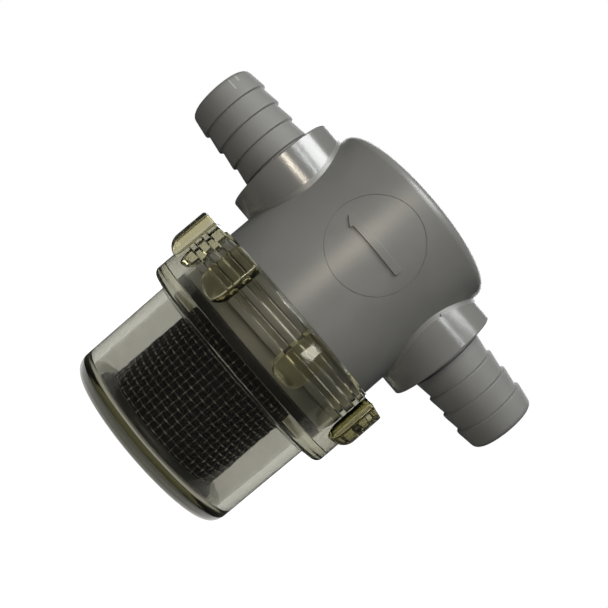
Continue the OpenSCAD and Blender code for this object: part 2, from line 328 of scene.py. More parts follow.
class NodeBench:
    """The node tree of a material or of a group, with short calls that fill it.

    A Mix node has its sockets for numbers and for colours in one list, so they are found by their places there.
    """

    NUMBERS = (2, 3, 0)
    COLOURS = (6, 7, 2)

    def __init__(self, tree: Tree) -> None:
        """Keeps the tree."""
        self.tree = tree

    def add(self, kind: str, values: dict[str | int, object] | None = None, **settings: object) -> bpy.types.Node:
        """Adds a node.

        Args:
            kind: The node's type.
            values: Plain values or sockets for its inputs.
            settings: Its other properties.

        Returns:
            The node.
        """
        node = self.tree.nodes.new(kind)
        for name, value in settings.items():
            setattr(node, name, value)
        for name, value in (values or {}).items():
            if isinstance(value, Socket):
                self.tree.links.new(value, node.inputs[name])
            else:
                node.inputs[name].default_value = value
        return node

    def sum_of(self, how: str, *values: object) -> Socket:
        """Works out one number from others and gives its socket."""
        return self.add("ShaderNodeMath", dict(enumerate(values)), operation=how).outputs[0]

    def product(self, first: object, second: object) -> Socket:
        """Multiplies two numbers and gives the socket of the result."""
        return self.sum_of("MULTIPLY", first, second)

    def distance(self, first: object, second: object) -> Socket:
        """Works out how far a point is from an axis, by its two distances along the sides of a square."""
        squares = self.sum_of("ADD", self.sum_of("POWER", first, 2.0), self.sum_of("POWER", second, 2.0))
        return self.sum_of("SQRT", squares)

    def blend(self, share: object, first: object, second: object) -> Socket:
        """Mixes two colours and gives the socket of the result."""
        one, two, result = self.COLOURS
        return self.add("ShaderNodeMix", {0: share, one: first, two: second}, data_type="RGBA").outputs[result]

    def between(self, share: object, first: object, second: object) -> Socket:
        """Mixes two numbers and gives the socket of the result."""
        one, two, result = self.NUMBERS
        return self.add("ShaderNodeMix", {0: share, one: first, two: second}).outputs[result]

    def spread(self, value: object, low: float, high: float, to_low: float = 0.0, to_high: float = 1.0) -> Socket:
        """Maps a range of numbers on to another one, softly, and gives its socket."""
        ends = {"Value": value, "From Min": low, "From Max": high, "To Min": to_low, "To Max": to_high}
        return self.add("ShaderNodeMapRange", ends, interpolation_type="SMOOTHSTEP").outputs[0]

    def place(self) -> Socket:
        """Gives the place on the piece, in metres."""
        return self.add("ShaderNodeTexCoord").outputs["Object"]

    def place_parts(self) -> bpy.types.bpy_prop_collection:
        """Gives the place on the piece as its three parts X, Y and Z, in metres."""
        return self.add("ShaderNodeSeparateXYZ", {"Vector": self.place()}).outputs

    def bumps(self, height: Socket, strength: float, depth: float) -> Socket:
        """Turns a height into the normal of a bumpy surface and gives its socket."""
        return self.add("ShaderNodeBump", {"Height": height, "Strength": strength, "Distance": depth}).outputs[0]

    def show(self, shader: bpy.types.Node, inside: bpy.types.Node | None = None) -> None:
        """Puts a shader on the surface, and another one inside it where there is one."""
        sockets = {"Surface": shader.outputs[0]} | ({"Volume": inside.outputs[0]} if inside else {})
        self.add("ShaderNodeOutputMaterial", sockets)


def shader_group(name: str, takes: dict[str, float], gives: Sequence[str]) -> tuple[Tree, NodeBench]:
    """Starts a node group for an effect that several finishes share.

    Args:
        name: The group's name.
        takes: Its number inputs with their usual values.
        gives: Its number outputs.

    Returns:
        The group and the bench that fills it.
    """
    group = bpy.data.node_groups.new(name, "ShaderNodeTree")
    for title, usual in takes.items():
        group.interface.new_socket(title, in_out="INPUT", socket_type="NodeSocketFloat").default_value = usual
    for title in gives:
        group.interface.new_socket(title, in_out="OUTPUT", socket_type="NodeSocketFloat")
    return group, NodeBench(group)


@dataclass(frozen=True)
class SharedEffects:
    """Node groups for effects that more than one finish uses."""

    SCRATCHES = (((0.3, 0.2, 0.9), 1040.0), ((1.1, 0.7, 2.3), 1360.0))
    SCRATCH_STRETCH = (1.0, 0.06, 1.0)
    SCRATCH_EDGE = (0.77, 0.80)
    SMEARS_PER_METRE = 38.0
    SMEAR_EDGE = (0.5, 0.72)

    grain: Tree
    marks: Tree

    @classmethod
    def build(cls) -> "SharedEffects":
        """Builds the groups once."""
        return cls(grain=cls.mould_grain(), marks=cls.handling_marks())

    @staticmethod
    def mould_grain() -> Tree:
        """Fine grain and slow cloudiness of a moulded surface.

        Returns:
            The group, with outputs Height and Cloud.
        """
        takes = {"Grains per metre": 3000.0, "Clouds per metre": 70.0}
        group, bench = shader_group("mould_grain", takes, ("Height", "Cloud"))
        given = bench.add("NodeGroupInput").outputs
        noises = []
        for scale, detail, roughness in (("Grains per metre", 3.0, 0.6), ("Clouds per metre", 4.0, 0.55)):
            noises.append(bench.add("ShaderNodeTexNoise", {
                "Vector": bench.place(), "Scale": given[scale], "Detail": detail, "Roughness": roughness,
            }).outputs[0])
        bench.add("NodeGroupOutput", dict(zip(("Height", "Cloud"), noises)))
        return group

    @classmethod
    def handling_marks(cls) -> Tree:
        """Hair scratches and dull smears from handling.

        Returns:
            The group, with outputs Scratch and Smear.
        """
        group, bench = shader_group("handling_marks", {"Amount": 1.0}, ("Scratch", "Smear"))
        amount = bench.add("NodeGroupInput").outputs["Amount"]
        place = bench.place()
        masks = []
        for turn, scale in cls.SCRATCHES:
            stretch = {"Vector": place, "Rotation": turn, "Scale": cls.SCRATCH_STRETCH}
            long_way = bench.add("ShaderNodeMapping", stretch).outputs[0]
            noise = bench.add("ShaderNodeTexNoise", {"Vector": long_way, "Scale": scale, "Detail": 1.0})
            masks.append(bench.spread(noise.outputs[0], *cls.SCRATCH_EDGE))
        cloudy = {"Vector": place, "Scale": cls.SMEARS_PER_METRE, "Detail": 5.0, "Distortion": 0.8}
        smear = bench.add("ShaderNodeTexNoise", cloudy)
        bench.add("NodeGroupOutput", {
            "Scratch": bench.product(bench.sum_of("MAXIMUM", *masks), amount),
            "Smear": bench.product(bench.spread(smear.outputs[0], *cls.SMEAR_EDGE), amount),
        })
        return group

    def grain_of(self, bench: NodeBench, grains: float, clouds: float) -> bpy.types.bpy_prop_collection:
        """Places the grain in a finish and gives its outputs."""
        scales = {"Grains per metre": grains, "Clouds per metre": clouds}
        return bench.add("ShaderNodeGroup", scales, node_tree=self.grain).outputs

    def marks_of(self, bench: NodeBench, amount: float) -> bpy.types.bpy_prop_collection:
        """Places the marks in a finish and gives their outputs."""
        return bench.add("ShaderNodeGroup", {"Amount": amount}, node_tree=self.marks).outputs


def new_material(name: str) -> tuple[bpy.types.Material, NodeBench]:
    """Starts an empty material and gives it with its bench."""
    material = bpy.data.materials.new(name)
    material.use_nodes = True
    material.node_tree.nodes.clear()
    return material, NodeBench(material.node_tree)


@dataclass(frozen=True)
class GreyPlastic:
    """Grey moulded plastic of the head, glossier on the hubs and inside the round insert line (metres)."""

    colour: Colour = (0.202, 0.200, 0.192, 1.0)
    cloud_colour: Colour = (0.187, 0.185, 0.177, 1.0)
    cloud_edge: tuple[float, float] = (0.35, 0.65)
    scuff_colour: Colour = (0.42, 0.42, 0.40, 1.0)
    body_rough: float = 0.37
    hub_rough: float = 0.17
    barb_rough: float = 0.62
    insert_rough: float = 0.38
    smear_rough: float = 0.10
    shine: float = 0.85
    grains: float = 3000.0
    clouds: float = 70.0
    marks: float = 0.5
    bump: float = 0.35
    bump_depth: float = 0.00006
    scuff_share: float = 0.2
    body_r: float = 0.0281
    body_soft: float = 0.0004
    barb_x: float = 0.0334
    barb_soft: float = 0.0002
    insert_r: float = 0.01225
    insert_soft: float = 0.0006
    insert_x: float = -0.00045
    insert_z: float = 0.0757
    strokes: tuple[tuple[float, float, float], ...] = ((-0.0575, -0.0536, 0.0773), (-0.0574, -0.0552, 0.0794))
    stroke_half_w: float = 0.00013
    stroke_share: float = 0.7
    stroke_full: float = 0.6

    def stroke(
        self, bench: NodeBench, place: bpy.types.bpy_prop_collection, spot: tuple[float, float, float],
    ) -> Socket:
        """Marks one pale scratch along a barb.

        Args:
            bench: The node tree.
            place: The three parts of the place on the piece.
            spot: Where the scratch starts and ends along X, and its height.

        Returns:
            1 on the scratch.
        """
        start, end, height = spot
        middle, half = (start + end) / 2, (end - start) / 2
        off = bench.sum_of("ABSOLUTE", bench.sum_of("SUBTRACT", place["Z"], height))
        along = bench.sum_of("ABSOLUTE", bench.sum_of("SUBTRACT", place["X"], middle))
        narrow = bench.spread(off, self.stroke_half_w, self.stroke_half_w * 2, 1.0, 0.0)
        inside = bench.spread(along, half * self.stroke_full, half, 1.0, 0.0)
        facing = bench.sum_of("LESS_THAN", place["Y"], 0.0)
        return bench.product(bench.product(narrow, inside), facing)

    def roughness(self, bench: NodeBench, place: bpy.types.bpy_prop_collection) -> Socket:
        """Works out how rough body, insert, hubs and barbs are.

        Args:
            bench: The node tree.
            place: The three parts of the place on the piece.

        Returns:
            The roughness.
        """
        out_r = bench.distance(place["X"], place["Y"])
        on_port = bench.spread(out_r, self.body_r, self.body_r + self.body_soft)
        on_barb = bench.spread(bench.sum_of("ABSOLUTE", place["X"]), self.barb_x, self.barb_x + self.barb_soft)
        up = bench.sum_of("SUBTRACT", place["Z"], self.insert_z)
        across = bench.distance(bench.sum_of("SUBTRACT", place["X"], self.insert_x), up)
        in_line = bench.spread(across, self.insert_r, self.insert_r - self.insert_soft)
        in_line = bench.product(in_line, bench.sum_of("LESS_THAN", place["Y"], 0.0))
        rough = bench.spread(in_line, 0.0, 1.0, self.body_rough, self.insert_rough)
        rough = bench.between(on_port, rough, self.hub_rough)
        return bench.between(on_barb, rough, self.barb_rough)

    def make(self, effects: SharedEffects) -> bpy.types.Material:
        """Builds the material.

        Args:
            effects: The shared node groups.

        Returns:
            The material.
        """
        material, bench = new_material("grey_plastic")
        grain = effects.grain_of(bench, self.grains, self.clouds)
        marks = effects.marks_of(bench, self.marks)
        place = bench.place_parts()
        cloudy = bench.spread(grain["Cloud"], *self.cloud_edge)
        base = bench.blend(cloudy, self.colour, self.cloud_colour)
        base = bench.blend(bench.product(marks["Scratch"], self.scuff_share), base, self.scuff_colour)
        for spot in self.strokes:
            share = bench.product(self.stroke(bench, place, spot), self.stroke_share)
            base = bench.blend(share, base, self.scuff_colour)
        smear = bench.product(marks["Smear"], self.smear_rough)
        bench.show(bench.add("ShaderNodeBsdfPrincipled", {
            "Base Color": base, "Roughness": bench.sum_of("ADD", self.roughness(bench, place), smear),
            "Normal": bench.bumps(grain["Height"], self.bump, self.bump_depth), "Specular IOR Level": self.shine,
        }))
        return material


@dataclass(frozen=True)
class ClearPlastic:
    """Clear plastic of the bowl with a faint olive tint that shows where it is thick, and painted shade that
    darkens its floor (metres).
    """

    tint: Colour = (0.53, 0.522, 0.50, 1.0)
    lug_tint: Colour = (0.50, 0.46, 0.30, 1.0)
    lug_from_r: float = 0.0331
    lug_soft: float = 0.0005
    # The base tint is painted shade. It darkens the floor of the bowl fully below the lower of the two heights
    # that follow, and fades out by the upper one.
    painted_base_shade: Colour = (0.14, 0.135, 0.11, 1.0)
    painted_shade_low_z: float = 0.0035
    painted_shade_high_z: float = 0.0045
    depth_colour: Colour = (0.46, 0.45, 0.18, 1.0)
    depth_density: float = 44.0
    shadow_tint: Colour = (0.86, 0.86, 0.83, 1.0)
    rough: float = 0.035
    smear_rough: float = 0.05
    scratch_rough: float = 0.15
    ior: float = 1.5
    grains: float = 160.0
    clouds: float = 60.0
    marks: float = 0.6
    bump: float = 0.07
    bump_depth: float = 0.0004

    def make(self, effects: SharedEffects) -> bpy.types.Material:
        """Builds the material.

        Args:
            effects: The shared node groups.

        Returns:
            The material.
        """
        material, bench = new_material("clear_plastic")
        grain = effects.grain_of(bench, self.grains, self.clouds)
        marks = effects.marks_of(bench, self.marks)
        rough = bench.sum_of("ADD", self.rough, bench.product(marks["Smear"], self.smear_rough))
        rough = bench.sum_of("ADD", rough, bench.product(marks["Scratch"], self.scratch_rough))
        place = bench.place_parts()
        out_r = bench.distance(place["X"], place["Y"])
        on_lug = bench.spread(out_r, self.lug_from_r, self.lug_from_r + self.lug_soft)
        # Painted shade on the floor of the bowl.
        painted_base_shade_mask = bench.spread(place["Z"], self.painted_shade_low_z, self.painted_shade_high_z, 1.0, 0.0)
        tint = bench.blend(painted_base_shade_mask, bench.blend(on_lug, self.tint, self.lug_tint), self.painted_base_shade)
        clear = bench.add("ShaderNodeBsdfPrincipled", {
            "Base Color": tint, "Roughness": rough, "IOR": self.ior, "Transmission Weight": 1.0,
            "Normal": bench.bumps(grain["Height"], self.bump, self.bump_depth),
        })
        to_lamps = bench.add("ShaderNodeBsdfTransparent", {"Color": self.shadow_tint})
        path = bench.add("ShaderNodeLightPath").outputs
        both = bench.add("ShaderNodeMixShader", {
            0: path["Is Shadow Ray"], 1: clear.outputs[0], 2: to_lamps.outputs[0],
        })
        depth = {"Color": self.depth_colour, "Density": self.depth_density}
        bench.show(both, inside=bench.add("ShaderNodeVolumeAbsorption", depth))
        return material


@dataclass(frozen=True)
class SealRubber:
    """Smooth black rubber with a dusty bloom."""

    colour: Colour = (0.004, 0.004, 0.004, 1.0)
    bloom: Colour = (0.012, 0.012, 0.011, 1.0)
    bloom_edge: tuple[float, float] = (0.45, 0.75)
    rough: float = 0.5
    bloom_rough: float = 0.75
    shine: float = 0.2
    grains: float = 2200.0
    clouds: float = 240.0
    bump: float = 0.3
    bump_depth: float = 0.00005

    def make(self, effects: SharedEffects) -> bpy.types.Material:
        """Builds the material.

        Args:
            effects: The shared node groups.

        Returns:
            The material.
        """
        material, bench = new_material("seal_rubber")
        grain = effects.grain_of(bench, self.grains, self.clouds)
        bloom = bench.spread(grain["Cloud"], *self.bloom_edge)
        bench.show(bench.add("ShaderNodeBsdfPrincipled", {
            "Base Color": bench.blend(bloom, self.colour, self.bloom),
            "Roughness": bench.spread(bloom, 0.0, 1.0, self.rough, self.bloom_rough),
            "Normal": bench.bumps(grain["Height"], self.bump, self.bump_depth), "Specular IOR Level": self.shine,
        }))
        return material


@dataclass(frozen=True)
class ScreenWire:
    """Steel wire, near black in the hollows of the weave as painted shade, and bright polished metal only on the
    crests where a wire crosses over, partly real polish and partly a painted highlight that makes the dashes
    (metres).
    """

    # The soil colour is painted shade in the hollows of the weave. The bare and warm colours make the crests
    # bright polished metal, partly real polish and partly a painted highlight that gives the dashes.
    painted_hollow_shade: Colour = (0.016, 0.015, 0.013, 1.0)
    polished_crest_highlight: Colour = (0.98, 0.95, 0.86, 1.0)
    warm_crest_highlight: Colour = (0.96, 0.84, 0.60, 1.0)
    warm_highlight_edge: tuple[float, float] = (0.4, 0.65)
    crest_r: float = 0.01892
    crest_soft: float = 0.00003
    crest_rough: float = 0.13
    hollow_rough: float = 0.55
    shine: float = 0.15
    grains: float = 5000.0
    clouds: float = 300.0
    bump: float = 0.2
    bump_depth: float = 0.00003

    def make(self, effects: SharedEffects) -> bpy.types.Material:
        """Builds the material.

        Args:
            effects: The shared node groups.

        Returns:
            The material.
        """
        material, bench = new_material("screen_wire")
        grain = effects.grain_of(bench, self.grains, self.clouds)
        place = bench.place_parts()
        out_r = bench.distance(place["X"], place["Y"])
        # Painted shade off the crests, and bright metal on them as painted highlight dashes.
        crest = bench.spread(out_r, self.crest_r, self.crest_r + self.crest_soft)
        crest_highlight_metal = bench.blend(bench.spread(grain["Cloud"], *self.warm_highlight_edge), self.polished_crest_highlight, self.warm_crest_highlight)
        bench.show(bench.add("ShaderNodeBsdfPrincipled", {
            "Base Color": bench.blend(crest, self.painted_hollow_shade, crest_highlight_metal), "Metallic": crest,
            "Roughness": bench.spread(crest, 0.0, 1.0, self.hollow_rough, self.crest_rough),
            "Normal": bench.bumps(grain["Height"], self.bump, self.bump_depth), "Specular IOR Level": self.shine,
        }))
        return material


@dataclass(frozen=True)
class DarkPlastic:
    """Dark moulded plastic of the screen's end cap and its collar, and the near-black fine cloth inside the wire,
    whose colour is partly painted shade.
    """

    name: str = "screen_plastic"
    colour: Colour = (0.012, 0.012, 0.0105, 1.0)
    worn: Colour = (0.027, 0.026, 0.023, 1.0)
    worn_edge: tuple[float, float] = (0.5, 0.75)
    rough: float = 0.42
    worn_rough: float = 0.2
    grains: float = 3000.0
    clouds: float = 150.0
    marks: float = 0.8
    shine: float = 0.25
    bump: float = 0.4
    bump_depth: float = 0.00006

    @classmethod
    def cloth(cls) -> "DarkPlastic":
        """Gives the duller and finer kind for the cloth, near black as painted shade for the dark inside of the
        screen.
        """
        return cls(
            # The cloth's near-black colours are painted shade inside the screen.
            name="fine_cloth", colour=(0.005, 0.005, 0.0045, 1.0), worn=(0.009, 0.0085, 0.0075, 1.0),
            rough=0.6, grains=4500.0, shine=0.03,
        )

    def make(self, effects: SharedEffects) -> bpy.types.Material:
        """Builds the material.

        Args:
            effects: The shared node groups.

        Returns:
            The material.
        """
        material, bench = new_material(self.name)
        grain = effects.grain_of(bench, self.grains, self.clouds)
        marks = effects.marks_of(bench, self.marks)
        dull = bench.spread(grain["Cloud"], *self.worn_edge)
        wear = bench.sum_of("MAXIMUM", dull, marks["Scratch"])
        bench.show(bench.add("ShaderNodeBsdfPrincipled", {
            "Base Color": bench.blend(wear, self.colour, self.worn),
            "Roughness": bench.spread(wear, 0.0, 1.0, self.rough, self.rough + self.worn_rough),
            "Normal": bench.bumps(grain["Height"], self.bump, self.bump_depth), "Specular IOR Level": self.shine,
        }))
        return material


@dataclass(frozen=True)
class Head:
    """The moulded head: body, two hubs with hose barbs, threaded skirt, passages and the flow mark (mm)."""

    body_r: float = 27.3
    draft: float = 0.2
    rim_z: float = 51.6
    top_z: float = 93.8
    edge_r: float = 2.7
    end_z: float = 36.7
    end_r: float = 0.35
    core_r: float = 26.3
    lead_in: float = 0.5
    lead_in_r: float = 0.1
    shoulder_drop: float = 0.3
    shoulder_h: float = 1.3
    soft_r: float = 0.3
    fine_r: float = 0.2
    chamber_r: float = 16.0
    roof_t: float = 4.0
    roof_r: float = 1.5
    socket_r: float = 20.15
    seat_z: float = 45.5
    gap_in_r: float = 21.5
    gap_out_r: float = 23.6
    gap_top_z: float = 49.2
    gap_top_r: float = 0.5
    axis_z: float = 74.6
    hub_r: float = 16.0
    hub_x: float = 33.2
    hub_edge_r: float = 0.45
    hub_start_x: float = 18.0
    blend_r: float = 0.4
    blend_bite: float = 0.03
    blend_root: float = 1.9
    blend_parts: int = 7
    barb_r: float = 10.3
    barb_root_r: float = 9.55
    barb_pitch: float = 5.65
    barb_count: int = 4
    barb_land: float = 0.4
    barb_step: float = 0.3
    barb_neck: float = 1.5
    neck_corner_r: float = 0.25
    root_corner_r: float = 0.04
    crest_corner_r: float = 0.06
    land_corner_r: float = 0.12
    nose_len: float = 5.95
    nose_d: float = 18.8
    nose_r: float = 1.7
    bore_r: float = 7.6
    mouth: float = 0.5
    mouth_r: float = 0.4
    past: float = 0.5
    inlet_from_x: float = 18.9
    outlet_from_x: float = 13.3
    passage_in_r: float = 18.7
    passage_out_r: float = 24.4
    passage_low_z: float = 48.2
    passage_high_z: float = 83.2
    passage_half_deg: float = 50.0
    passage_steps: int = 32
    mark_r: float = 12.25
    mark_x: float = -0.45
    mark_z: float = 75.7
    line_w: float = 0.3
    line_depth: float = 0.12
    line_slope: float = 0.08
    line_flare: float = 0.1
    arrow_l: float = 18.5
    arrow_x: float = -1.0
    shaft_w: float = 2.1
    arrow_w: float = 4.0
    arrow_head_l: float = 2.8
    arrow_proud: float = 0.5
    arrow_root: float = 0.6
    arrow_bevel: float = 0.08
    arrow_parts: int = 24
    shaft_end_r: float = 0.7
    shaft_side_r: float = 0.1
    wing_r: float = 0.3
    point_r: float = 0.25
    pip_r: float = 0.33
    pip_x: float = 23.3
    pip_deg: float = 14.5
    thread_turns: float = 2.8
    segments: int = 240
    port_segments: int = 160
    bore_segments: int = 128

    def body_radius(self, z: float) -> float:
        """Gives the radius of the body at a height."""
        foot, top = self.rim_z - self.shoulder_drop, self.top_z - self.edge_r
        return self.body_r - self.draft * (z - foot) / (top - foot)

    def body(self) -> Shape:
        """Turns the body with its chamber, socket and skirt.

        Returns:
            The body.
        """
        roof_z = self.top_z - self.roof_t
        foot_z = self.rim_z - self.shoulder_drop
        return turned(rounded([
            (0, roof_z, 0), (self.chamber_r, roof_z, self.roof_r), (self.chamber_r, self.seat_z, self.soft_r),
            (self.socket_r, self.seat_z, self.fine_r), (self.socket_r, self.end_z, self.end_r),
            (self.gap_in_r, self.end_z, self.end_r), (self.gap_in_r, self.gap_top_z, self.gap_top_r),
            (self.gap_out_r, self.gap_top_z, self.gap_top_r), (self.gap_out_r, self.end_z, self.end_r),
            (self.core_r - self.lead_in, self.end_z, self.lead_in_r),
            (self.core_r, self.end_z + self.lead_in, self.fine_r),
            (self.core_r, foot_z - self.shoulder_h, self.soft_r), (self.body_r, foot_z, self.soft_r),
            (self.body_r - self.draft, self.top_z, self.edge_r), (0, self.top_z, 0),
        ], parts=8), self.segments)

    def crest_x(self, number: int) -> float:
        """Gives the distance of a barb's crest from the middle, the one at the hub being number 0."""
        return self.hub_x + self.barb_neck + number * self.barb_pitch

    def tip_x(self) -> float:
        """Gives the distance of a barb's tip from the middle."""
        return self.crest_x(self.barb_count - 1) + self.barb_land + self.nose_len

    def barb_profile(self) -> list[Point]:
        """Draws a hub and its barb as radius against distance from the middle.

        Returns:
            The profile, from axis to axis.
        """
        corners: list[Corner] = [
            (0, self.hub_start_x, 0), (self.hub_r, self.hub_start_x, 0),
            (self.hub_r, self.hub_x, self.hub_edge_r), (self.barb_root_r, self.hub_x, self.neck_corner_r),
        ]
        for crest in map(self.crest_x, range(self.barb_count)):
            corners += [
                (self.barb_root_r, crest - self.barb_step, self.root_corner_r),
                (self.barb_r, crest, self.crest_corner_r),
                (self.barb_r, crest + self.barb_land, self.land_corner_r),
            ]
        corners += [(self.nose_d / 2, self.tip_x(), self.nose_r), (0, self.tip_x(), 0)]
        return rounded(corners, parts=4)

    def blend_section(self, turn: float) -> list[Vector]:
        """Draws the blend between hub and body at one place round the hub, by a ball that touches both.

        Args:
            turn: The angle round the hub, from straight up.

        Returns:
            The points from the hub to the body and the one hidden under them, seen from the hub's axis.
        """
        reach = self.blend_r - self.blend_bite
        ball_y, ball_z = ((self.hub_r + reach) * part for part in (math.sin(turn), math.cos(turn)))
        ball_x = math.sqrt((self.body_radius(self.axis_z + ball_z) + reach) ** 2 - ball_y ** 2)
        ball = Vector((ball_x, ball_y, ball_z))
        to_hub = Vector((0, -math.sin(turn), -math.cos(turn)))
        to_body = Vector((-ball_x, -ball_y, 0)).normalized()
        arc = [to_hub.slerp(to_body, k / self.blend_parts) for k in range(self.blend_parts + 1)]
        hidden = (to_hub + to_body).normalized() * self.blend_root
        return [ball + way * self.blend_r for way in arc + [hidden]]

    def soft_crease(self, side: int) -> Shape:
        """Lays a soft concave blend along the crease where a hub leaves the body.

        Args:
            side: 1 for the inlet side, -1 for the outlet side.

        Returns:
            A closed ring whose outer face blends hub and body.
        """
        sections = [self.blend_section(FULL_TURN * i / self.port_segments) for i in range(self.port_segments)]
        bm = bmesh.new()
        loops = []
        for points in zip(*sections):
            made = bmesh.ops.create_circle(bm, cap_ends=False, segments=self.port_segments, radius=1.0)["verts"]
            for vert, point in zip(made, points):
                vert.co = point
            loops.append(list({e for v in made for e in v.link_edges}))
        for near, far in zip(loops, loops[1:] + loops[:1]):
            bmesh.ops.bridge_loops(bm, edges=near + far)
        moved(bm, (0, 0, self.axis_z))
        return tidy(bm if side > 0 else swung(bm, 180))

    def wrapped(self, bm: Shape) -> Shape:
        """Lays a shape that stands on a flat front (Y = 0, outwards is -Y) on to the body."""
        def lay(p: Vector) -> Vector:
            return Vector((p.x, p.y - math.sqrt(self.body_radius(p.z) ** 2 - p.x ** 2), p.z))

        return reshaped(bm, lay)

    def insert_line(self) -> Shape:
        """Cuts the fine round line of the mould insert.

        Returns:
            The ring that is cut out.
        """
        inner, outer = self.mark_r - self.line_w / 2, self.mark_r + self.line_w / 2
        ring = turned([
            (inner + self.line_slope, -self.line_depth), (outer - self.line_slope, -self.line_depth),
            (outer + self.line_flare, self.past), (inner - self.line_flare, self.past),
        ], self.port_segments, Axis.FRONT, closed=True)
        return self.wrapped(moved(ring, (self.mark_x, 0, self.mark_z)))

    def arrow(self) -> Shape:
        """Raises the flow arrow, which points to the outlet.

        Returns:
            The arrow, rooted in the body.
        """
        half, shaft, wing = self.arrow_l / 2, self.shaft_w / 2, self.arrow_w / 2
        neck = -half + self.arrow_head_l
        outline = rounded([
            (0, -shaft, 0), (half, -shaft, self.shaft_end_r), (half, shaft, self.shaft_end_r),
            (neck, shaft, self.shaft_side_r), (neck, wing, self.wing_r), (-half, 0, self.point_r),
            (neck, -wing, self.wing_r), (neck, -shaft, self.shaft_side_r), (0, -shaft, 0),
        ], parts=4)[:-1]
        bm = bmesh.new()
        face = bm.faces.new([bm.verts.new((x, self.arrow_root, z + self.mark_z)) for x, z in outline])
        top = bmesh.ops.extrude_face_region(bm, geom=[face])["geom"]
        verts = [g for g in top if isinstance(g, bmesh.types.BMVert)]
        bmesh.ops.translate(bm, verts=verts, vec=(0, -self.arrow_root - self.arrow_proud, 0))
        bmesh.ops.bevel(
            bm, geom=[e for e in bm.edges if all(v in verts for v in e.verts)], offset=self.arrow_bevel,
            offset_type="OFFSET", affect="EDGES", segments=2, profile=0.5, material=-1,
        )
        cuts = [-half + self.arrow_l * i / self.arrow_parts for i in range(1, self.arrow_parts)]
        sliced(bm, cuts, Vector((1, 0, 0)))
        bmesh.ops.recalc_face_normals(bm, faces=bm.faces)
        return self.wrapped(moved(bm, (self.arrow_x, 0, 0)))

    def hub_pip(self) -> Shape:
        """Raises the small round pip on the outlet hub, near the body."""
        bm = bmesh.new()
        bmesh.ops.create_icosphere(bm, subdivisions=3, radius=self.pip_r)
        lift = math.radians(self.pip_deg)
        out, up = self.hub_r * math.cos(lift), self.hub_r * math.sin(lift)
        return moved(bm, (self.pip_x, -out, self.axis_z + up))

    def inlet_passage(self) -> Shape:
        """Shapes the passage from the inlet down to the outside of the screen.

        Returns:
            The space that is cut out.
        """
        r_in, r_out = self.passage_in_r, self.passage_out_r
        low, high = self.passage_low_z, self.passage_high_z
        bm = bmesh.new()
        verts = [bm.verts.new(p) for p in ((r_in, 0, low), (r_out, 0, low), (r_out, 0, high), (r_in, 0, high))]
        edges = [bm.edges.new(pair) for pair in zip(verts, verts[1:] + verts[:1])]
        bmesh.ops.spin(
            bm, geom=verts + edges, cent=(0, 0, 0), axis=(0, 0, 1), dvec=(0, 0, 0),
            angle=math.radians(2 * self.passage_half_deg), steps=self.passage_steps, use_merge=False,
            use_normal_flip=False, use_duplicate=False,
        )
        bmesh.ops.holes_fill(bm, edges=[e for e in bm.edges if e.is_boundary], sides=0)
        return swung(tidy(bm), -self.passage_half_deg)

    def bore(self, start_x: float, axis: Axis) -> Shape:
        """Shapes a bore with a rounded mouth.

        Args:
            start_x: Distance from the middle at which it starts.
            axis: The side it opens to.

        Returns:
            The space that is cut out.
        """
        tip = self.tip_x()
        profile = rounded([
            (0, start_x, 0), (self.bore_r, start_x, 0), (self.bore_r, tip - self.mouth, self.mouth_r),
            (self.bore_r + self.mouth + self.past, tip + self.past, 0), (0, tip + self.past, 0),
        ], parts=4)
        return moved(turned(profile, self.bore_segments, axis), (0, 0, self.axis_z))

    def build(self, thread: ThreadForm, effects: SharedEffects) -> bpy.types.Object:
        """Builds and dresses the head.

        Args:
            thread: The form of the thread.
            effects: The shared node groups.

        Returns:
            The finished piece.
        """
        barbs = [turned(self.barb_profile(), self.port_segments, axis) for axis in (Axis.RIGHT, Axis.LEFT)]
        bores = [self.bore(self.inlet_from_x, Axis.RIGHT), self.bore(self.outlet_from_x, Axis.LEFT)]
        thread_z = self.end_z + thread.pitch / 2
        bm = self.body()
        for tool, how in (
            (moved(gathered(barbs), (0, 0, self.axis_z)), Join.ADD),
            (gathered([self.soft_crease(1), self.soft_crease(-1)]), Join.ADD),
            (thread.ridge(self.core_r, self.body_r, thread_z, self.thread_turns), Join.ADD),
            (self.insert_line(), Join.CUT),
            (self.hub_pip(), Join.ADD),
            (self.arrow(), Join.ADD),
            (self.inlet_passage(), Join.CUT),
            (gathered(bores), Join.CUT),
        ):
            bm = worked(bm, tool, how)
        piece = as_piece(bm, "strainer_head", GreyPlastic().make(effects))
        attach(piece, "head")
        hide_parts("head")
        return piece


